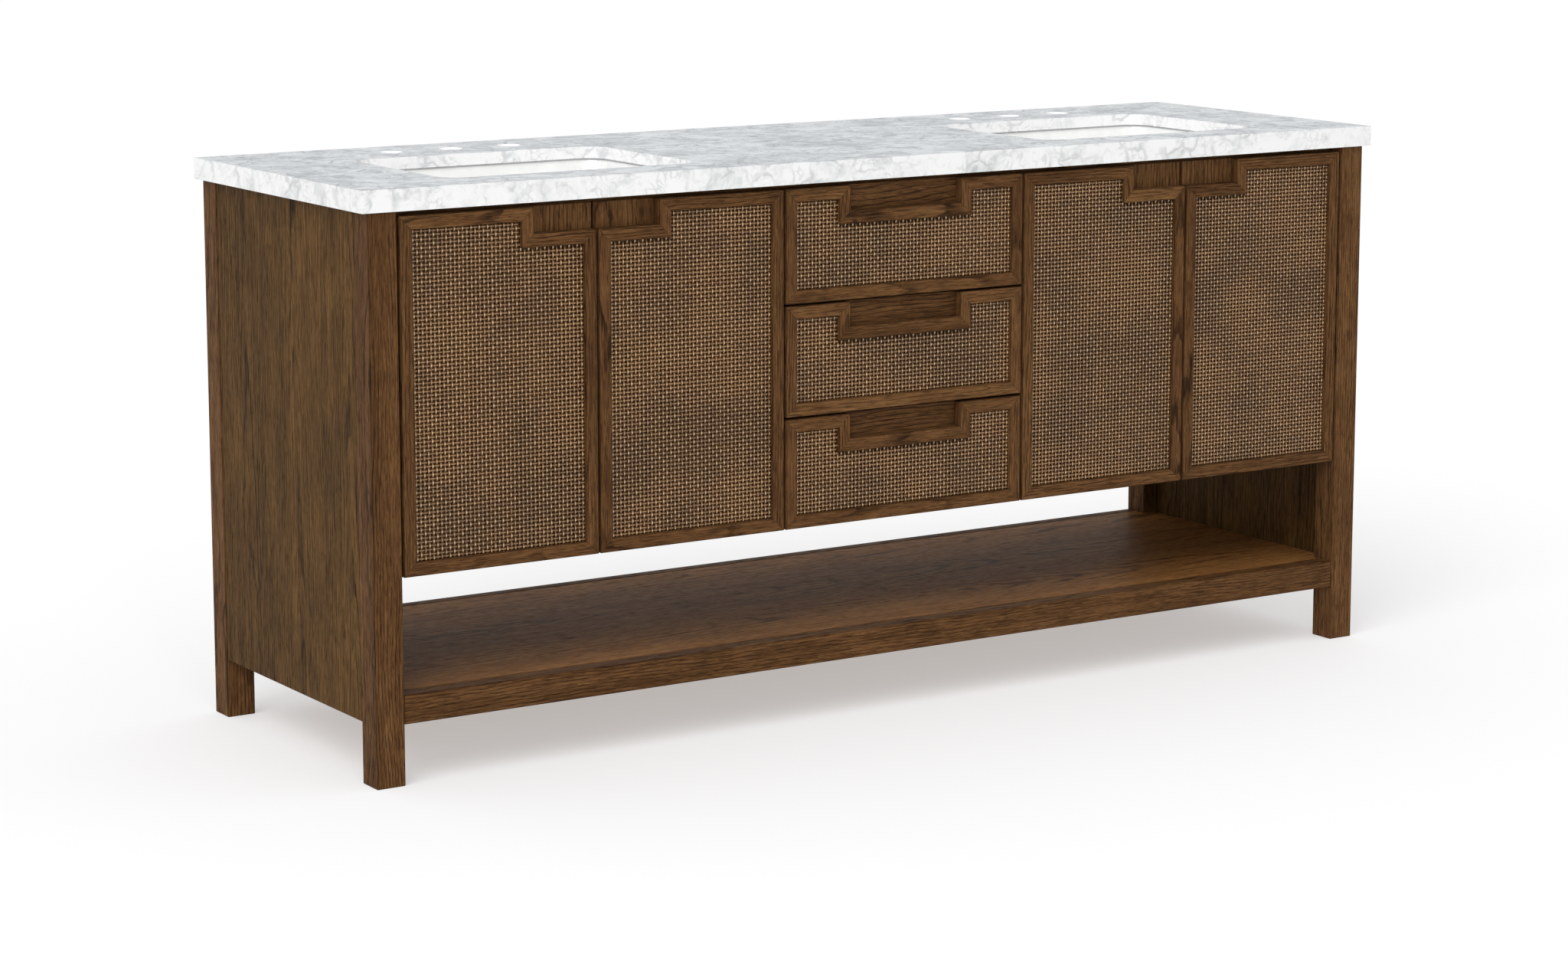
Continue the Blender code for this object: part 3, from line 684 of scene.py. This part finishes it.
def weave(front):
    """The woven cane in a front's opening, cut round the notch, and the board behind it."""
    left, right = front.left + MEMBER, front.right - MEMBER
    bottom, top = front.bottom + MEMBER, front.top - MEMBER
    floor = front.top - NOTCH_DEPTH - MEMBER
    gap = (max(front.notch[0] - MEMBER, left), min(front.notch[1] + MEMBER, right))
    columns = round((right - left) / STRAND_PITCH_X)
    rows = round((top - bottom) / STRAND_PITCH_Z)
    pitch_x, pitch_z = (right - left) / columns, (top - bottom) / rows
    first_x, first_z = left + pitch_x / 2, bottom + pitch_z / 2
    reach = STRAND_WIDTH / 2
    draw = np.random.default_rng(random.Random(front.name).randrange(2 ** 32))
    level = front.face + CANE_SETBACK + WEAVE_AMPLITUDE + STRAND_THICKNESS / 2

    upright = [(index, first_x + index * pitch_x) for index in range(columns)]
    spans = [(bottom, floor if gap[0] - reach < centre < gap[1] + reach else top) for _, centre in upright]
    parts = [strands([index for index, _ in upright], [centre for _, centre in upright], spans,
                     pitch_z, first_z, True, draw, level)]
    numbers, centres, spans = [], [], []
    for index in range(rows):
        centre = first_z + index * pitch_z
        pieces = [(left, right)]
        if centre + reach > floor:
            pieces = [(start, end) for start, end in ((left, gap[0]), (gap[1], right))
                      if end - start > 2 * reach]
        for span in pieces:
            numbers.append(index)
            centres.append(centre)
            spans.append(span)
    across = strands(numbers, centres, spans, pitch_x, first_x, False, draw, level)
    parts.append((across[0][:, (2, 1, 0)], across[1][:, ::-1] + len(parts[0][0]), *across[2:]))

    points = np.concatenate([part[0] for part in parts])
    quads = np.concatenate([part[1] for part in parts])
    mesh = quad_mesh(f"{front.name}_weave", points, quads)
    write_attributes(mesh, {"strand": np.concatenate([part[2] for part in parts]),
                            "section": np.concatenate([part[3] for part in parts])})
    mesh.shade_smooth()
    item = new_object(f"{front.name}_weave", mesh, CANE)
    attach(item, front.name, "woven_cane", f"{front.name}_cane")
    board = (front.outline(MEMBER), "Y", front.face + GROUND_SETBACK, front.rear, "Z", "Y")
    attach(solids(f"{front.name}_ground", [board], OAK_GROUND, 0), front.name, "stained_wood")


# ---------------------------------------------------------------- stone and basins

def ring(half_x, half_y, radius, centre, level, steps=CORNER_STEPS):
    """A rounded rectangle, or a circle where the half sizes equal the radius."""
    points = []
    for corner, (side, end) in enumerate(((1, 1), (-1, 1), (-1, -1), (1, -1))):
        for step in range(steps + 1):
            turn = (corner + step / steps) * math.pi / 2
            points.append((centre[0] + side * (half_x - radius) + radius * math.cos(turn),
                           centre[1] + end * (half_y - radius) + radius * math.sin(turn), level))
    return points


def baked(item):
    """The object's mesh with its modifiers applied. The object itself is removed."""
    bpy.context.view_layer.update()
    mesh = bpy.data.meshes.new_from_object(item.evaluated_get(bpy.context.evaluated_depsgraph_get()))
    bpy.data.objects.remove(item)
    mesh.materials.clear()
    return mesh


def eased_slab(mesh, low, high):
    """Hollow the stone's underside, so that only its edges keep the full thickness, and ease its edges."""
    item = new_object("stone_blank", mesh, None)
    points, faces = prism(rectangle(low.x + BUILT_UP_EDGE, high.x - BUILT_UP_EDGE,
                                    low.y + BUILT_UP_EDGE, high.y - BUILT_UP_EDGE),
                          "Z", low.z - SLAB, high.z - SLAB, 0)
    hollow = bpy.data.meshes.new("stone_hollow")
    hollow.from_pydata(points, [], faces)
    cutter = new_object("stone_hollow", hollow, None)
    weld = item.modifiers.new("weld", "WELD")
    weld.merge_threshold = STONE_WELD
    cut = item.modifiers.new("hollow", "BOOLEAN")
    cut.object = cutter
    bevel = item.modifiers.new("eased", "BEVEL")
    bevel.width = STONE_EASE
    bevel.segments = 3
    bevel.limit_method = "ANGLE"
    bevel.angle_limit = STONE_EASE_ANGLE
    mesh = baked(item)
    bpy.data.objects.remove(cutter)
    return mesh


def stone_look(face, taps, low, high):
    """The polish or cut that a face of the stone shows, with a lighter copy of the marble on the walls of
    the tap holes and cutouts and a darker one on the top, as painted light and shade.
    """
    spot = face.center.xy
    if any(math.dist(spot, tap) < TAP_HOLE_RADIUS + STONE_EASE for tap in taps):
        return DRILLED_PAINTED_LIGHT
    if face.normal.z > STONE_UPWARD:
        return MARBLE_TOP_PAINTED_SHADE
    within = (low.x + BUILT_UP_EDGE < spot.x < high.x - BUILT_UP_EDGE
              and low.y + BUILT_UP_EDGE < spot.y < high.y - BUILT_UP_EDGE)
    return MARBLE_CUTOUT_PAINTED_LIGHT if within else MARBLE_EDGE


def countertop():
    """The stone top, with a cutout over each bowl and three tap holes behind it."""
    low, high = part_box("countertop")
    curve = bpy.data.curves.new("stone_top", "CURVE")
    curve.dimensions = "2D"
    curve.fill_mode = "BOTH"
    curve.extrude = (high.z - low.z) / 2
    loops = [[(across, along, 0) for across, along in rectangle(low.x, high.x, low.y, high.y)]]
    taps = []
    for node in SINKS:
        middle = sum(corner.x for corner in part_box(node)) / 2
        loops.append(ring(CUTOUT_WIDTH / 2, CUTOUT_DEPTH / 2, CUTOUT_RADIUS, (middle, BASIN_Y), 0))
        for step in (-1, 0, 1):
            tap = (middle + step * TAP_HOLE_SPACING, TAP_HOLE_Y)
            loops.append(ring(TAP_HOLE_RADIUS, TAP_HOLE_RADIUS, TAP_HOLE_RADIUS, tap, 0, TAP_HOLE_STEPS))
            taps.append(tap)
    for loop in loops:
        clean = [point for index, point in enumerate(loop)
                 if math.dist(point, loop[index - 1]) > SAME_PLACE]
        spline = curve.splines.new("POLY")
        spline.points.add(len(clean) - 1)
        for point, spot in zip(spline.points, clean):
            point.co = (*spot, 1)
        spline.use_cyclic_u = True
    source = bpy.data.objects.new("stone_source", curve)
    bpy.context.scene.collection.objects.link(source)
    mesh = baked(source)
    mesh.transform(Matrix.Translation((0, 0, (low.z + high.z) / 2)))
    mesh = eased_slab(mesh, low, high)
    item = new_object("stone_top", mesh, None)
    for look in STONE_LOOKS:
        mesh.materials.append(look)
    for face in mesh.polygons:
        face.material_index = STONE_LOOKS.index(stone_look(face, taps, low, high))
    flat_normals(item)
    attach(item, "cabinet", "marble", "countertop")


def lofted(name, rings, centre, sharp):
    """The skin of a closed chain of rings, each (half width, half depth, corner radius, height).
    Edges that turn more than the sharp angle stay sharp."""
    shape = bmesh.new()
    loops = [[shape.verts.new(point) for point in ring(half_x, half_y, radius, centre, level)]
             for half_x, half_y, radius, level in rings]
    for first, loop in enumerate(loops):
        other = loops[(first + 1) % len(loops)]
        for index in range(len(loop)):
            after = (index + 1) % len(loop)
            shape.faces.new((loop[index], loop[after], other[after], other[index]))
    bmesh.ops.remove_doubles(shape, verts=shape.verts, dist=SAME_PLACE)
    bmesh.ops.recalc_face_normals(shape, faces=shape.faces)
    mesh = bpy.data.meshes.new(name)
    shape.to_mesh(mesh)
    shape.free()
    mesh.shade_smooth()
    mesh.set_sharp_from_angle(angle=sharp)
    return mesh


def bowl(node):
    """An undermounted bowl as one closed surface, lofted from the flange round to the waste hole."""
    low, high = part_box(node)
    centre = ((low.x + high.x) / 2, (low.y + high.y) / 2)
    top = high.z
    mouth = (CUTOUT_WIDTH / 2 + BOWL_REVEAL, CUTOUT_DEPTH / 2 + BOWL_REVEAL)
    flange = ((high.x - low.x) / 2, (high.y - low.y) / 2)
    corner = CUTOUT_RADIUS + BOWL_REVEAL
    straight = BOWL_DEPTH - BOWL_FILLET
    floor = top - BOWL_DEPTH
    slope = BOWL_DRAFT * straight / BOWL_DEPTH
    wide = flange[0] - mouth[0]
    soft = BOWL_SOFT_EDGE

    def inner(inset, level):
        return (mouth[0] - inset, mouth[1] - inset, max(corner, BOWL_FILLET * 0.8), level)

    def outer(inset, level):
        return (mouth[0] - inset + BOWL_WALL, mouth[1] - inset + BOWL_WALL, corner + BOWL_WALL, level)

    turns = [step * math.pi / 12 for step in range(1, 7)]
    rings = [(flange[0], flange[1], corner + wide, top - FLANGE_THICKNESS + soft),
             (flange[0], flange[1], corner + wide, top - soft),
             (flange[0] - soft, flange[1] - soft, corner + wide - soft, top),
             inner(-soft, top), inner(-soft * 0.3, top - soft * 0.3), inner(0, top - soft),
             inner(slope * 0.5, top - straight * 0.5), inner(slope, top - straight)]
    for turn in turns:
        rings.append(inner(slope + BOWL_FILLET * (1 - math.cos(turn)),
                           top - straight - BOWL_FILLET * math.sin(turn)))
    for radius, level in DRAIN_RIM:
        rings.append((radius, radius, radius, floor + level))
    for turn in reversed(turns):
        rings.append(outer(slope + BOWL_FILLET * (1 - math.cos(turn)),
                           top - straight - BOWL_FILLET * math.sin(turn) - BOWL_WALL * math.sin(turn)))
    rings += [outer(slope, top - straight), outer(slope * 0.3, top - FLANGE_THICKNESS - soft),
              (mouth[0] + BOWL_WALL + soft, mouth[1] + BOWL_WALL + soft, corner + BOWL_WALL,
               top - FLANGE_THICKNESS),
              (flange[0] - soft, flange[1] - soft, corner + wide - soft, top - FLANGE_THICKNESS)]
    mesh = lofted(f"{node}_bowl", rings, centre, BOWL_SHARP_ANGLE)
    attach(new_object(f"{node}_bowl", mesh, PORCELAIN), "cabinet", "porcelain", node)


def seal(node):
    """The bead of sealant where the bowl meets the underside of the stone."""
    low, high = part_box(node)
    centre = ((low.x + high.x) / 2, (low.y + high.y) / 2)
    rings = [(CUTOUT_WIDTH / 2 + out, CUTOUT_DEPTH / 2 + out, CUTOUT_RADIUS + out, high.z + level)
             for out, level in SEAL_SECTION]
    mesh = lofted(f"{node}_seal", rings, centre, SEAL_SHARP_ANGLE)
    attach(new_object(f"{node}_seal", mesh, SEALANT), "cabinet", "porcelain")


# ---------------------------------------------------------------- boxes, slides, hinges

def drawer_box(name):
    """Four boards and a bottom let in between them."""
    low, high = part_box(f"{name}_box")
    bottom = low.z + BOX_BOTTOM_LIFT
    inner_x, inner_y = (low.x + BOX_WALL, high.x - BOX_WALL), (low.y + BOX_WALL, high.y - BOX_WALL)
    tall = rectangle(low.y, high.y, low.z, high.z)
    wide = rectangle(*inner_x, low.z, high.z)
    parts = [(tall, "X", low.x, inner_x[0], "Y", "X"), (tall, "X", inner_x[1], high.x, "Y", "X"),
             (wide, "Y", low.y, inner_y[0], "X", "Y"), (wide, "Y", inner_y[1], high.y, "X", "Y"),
             (rectangle(*inner_x, *inner_y), "Z", bottom, low.z + BOX_WALL, "Y", "Z")]
    boards = solids(f"{name}_box_boards", parts, OAK_INSIDE, BOX_EASE)
    attach(boards, name, "interior_wood", f"{name}_box")


def drawer_slides(name):
    """The member of each slide that travels with the drawer, inside the cabinet's channel."""
    box_low, box_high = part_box(f"{name}_box")
    front, rear = box_low.y + RUNNER_SETBACK_FRONT, box_high.y - RUNNER_SETBACK_REAR
    gauge, tall = RUNNER_GAUGE, RUNNER_HALF_HEIGHT
    for side in ("left", "right"):
        low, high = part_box(f"{name}_slide_{side}")
        sign = 1 if side == "right" else -1
        start = box_high.x + RUNNER_GAP
        reach = abs(high.x if side == "right" else low.x) - RUNNER_IN_CHANNEL
        middle = (low.z + high.z) / 2
        outline = [(start, -tall), (reach, -tall), (reach, -tall + gauge), (start + gauge, -tall + gauge),
                   (start + gauge, tall - gauge), (reach, tall - gauge), (reach, tall), (start, tall)]
        outline = [(sign * across, middle + up) for across, up in outline]
        item = solids(f"{name}_runner_{side}", [(outline, "Y", front, rear, "Y", "X")], STEEL, RUNNER_EASE)
        attach(item, name, "hinge_and_slide_steel")


def hinge_arms(name):
    """The cabinet's half of each hinge: a plate on the post or partition and an arm to the door."""
    node, face = HINGE_WALLS[name]
    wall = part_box(node)[face].x
    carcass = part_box("partition_left")[0].y
    for end in ("lower", "upper"):
        cup_low, cup_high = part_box(f"{name}_cup_{end}")
        cup = (cup_low.x + cup_high.x) / 2
        level = (cup_low.z + cup_high.z) / 2
        sign = 1 if cup > wall else -1
        plate, near, far = ([(wall + sign * out, carcass + behind) for out, behind in points]
                            for points in (HINGE_PLATE, HINGE_ARM_NEAR, HINGE_ARM_FAR))
        tip = [(cup - sign * short, carcass + behind) for short, behind in HINGE_ARM_TIP]
        parts = [(plate, "Z", level - HINGE_PLATE_HALF_HEIGHT, level + HINGE_PLATE_HALF_HEIGHT, "Z", "X"),
                 (near + tip + far, "Z", level - HINGE_ARM_HALF_HEIGHT, level + HINGE_ARM_HALF_HEIGHT,
                  "Y", "Z")]
        attach(solids(f"{name}_arm_{end}", parts, STEEL), "cabinet", "hinge_and_slide_steel")


# ---------------------------------------------------------------- assembly

def link_facing(item, direction):
    """Add a light or the camera to the scene, turned to face along a direction."""
    item.rotation_euler = Vector(direction).to_track_quat("-Z", "Y").to_euler()
    bpy.context.scene.collection.objects.link(item)


def stage():
    """A white floor and backdrop, a soft sun from the left and front, and a softbox beside the camera."""
    mesh = bpy.data.meshes.new("studio_floor")
    corners = [(x * FLOOR_REACH, y * FLOOR_REACH, 0) for x, y in ((-1, -1), (1, -1), (1, 1), (-1, 1))]
    mesh.from_pydata(corners, [], [(0, 1, 2, 3)])
    new_object("studio_floor", mesh, floor_paint())
    world = bpy.data.worlds.new("studio")
    world.use_nodes = True
    backdrop = world.node_tree.nodes["Background"]
    backdrop.inputs["Color"].default_value = WHITE
    backdrop.inputs["Strength"].default_value = BACKDROP_STRENGTH
    bpy.context.scene.world = world
    sun = bpy.data.lights.new("key", "SUN")
    sun.energy = SUN_STRENGTH
    sun.angle = SUN_WIDTH
    link_facing(bpy.data.objects.new("key", sun), SUN_DIRECTION)
    box = bpy.data.lights.new("softbox", "AREA")
    box.shape = "SQUARE"
    box.size = SOFTBOX_SIZE
    box.energy = SOFTBOX_WATTS
    item = bpy.data.objects.new("softbox", box)
    item.location = SOFTBOX_PLACE
    link_facing(item, Vector(SOFTBOX_TARGET) - item.location)
    bpy.context.scene.view_settings.view_transform = "Standard"


def camera():
    """The camera, yawed right of straight ahead and pitched down."""
    data = bpy.data.cameras.new("camera")
    data.lens = CAMERA_LENS_MM
    data.shift_y = CAMERA_SHIFT
    data.clip_end = CAMERA_RANGE
    item = bpy.data.objects.new("camera", data)
    item.location = CAMERA_PLACE
    link_facing(item, (math.sin(CAMERA_YAW) * math.cos(CAMERA_PITCH),
                       math.cos(CAMERA_YAW) * math.cos(CAMERA_PITCH), -math.sin(CAMERA_PITCH)))
    bpy.context.scene.camera = item


camera()
stage()
for side in ("left", "right"):
    for end in ("front", "rear"):
        dress_board(f"post_{end}_{side}", "Z", "Y", OAK, False)
    dress_board(f"side_panel_{side}", "Z", "X", OAK_PANEL_PAINTED_SHADE, True)
    dress_board(f"partition_{side}", "Z", "X", OAK_INSIDE, True)
for node in ("shelf_front_rail", "shelf_rear_rail", "front_top_rail", "rear_top_rail"):
    dress_board(node, "X", "Y", OAK, False)
dress_board("lower_shelf", "X", "Z", OAK_SHELF_PAINTED_LIGHT, True)
dress_board("cabinet_floor", "X", "Z", OAK_INSIDE, True)
dress_board("back_panel", "X", "Y", OAK_INSIDE, True)
for name in DOORS + DRAWERS:
    dress_board(f"{name}_backing", "Z" if name in DOORS else "X", "Y", OAK, True)
    front = Front(name)
    front_frame(front)
    weave(front)
countertop()
for node in SINKS:
    bowl(node)
    seal(node)
for name in DOORS:
    for end in ("lower", "upper"):
        dress(f"{name}_cup_{end}", STEEL)
    hinge_arms(name)
for name in DRAWERS:
    drawer_box(name)
    drawer_slides(name)
    for side in ("left", "right"):
        dress(f"{name}_slide_{side}", STEEL)
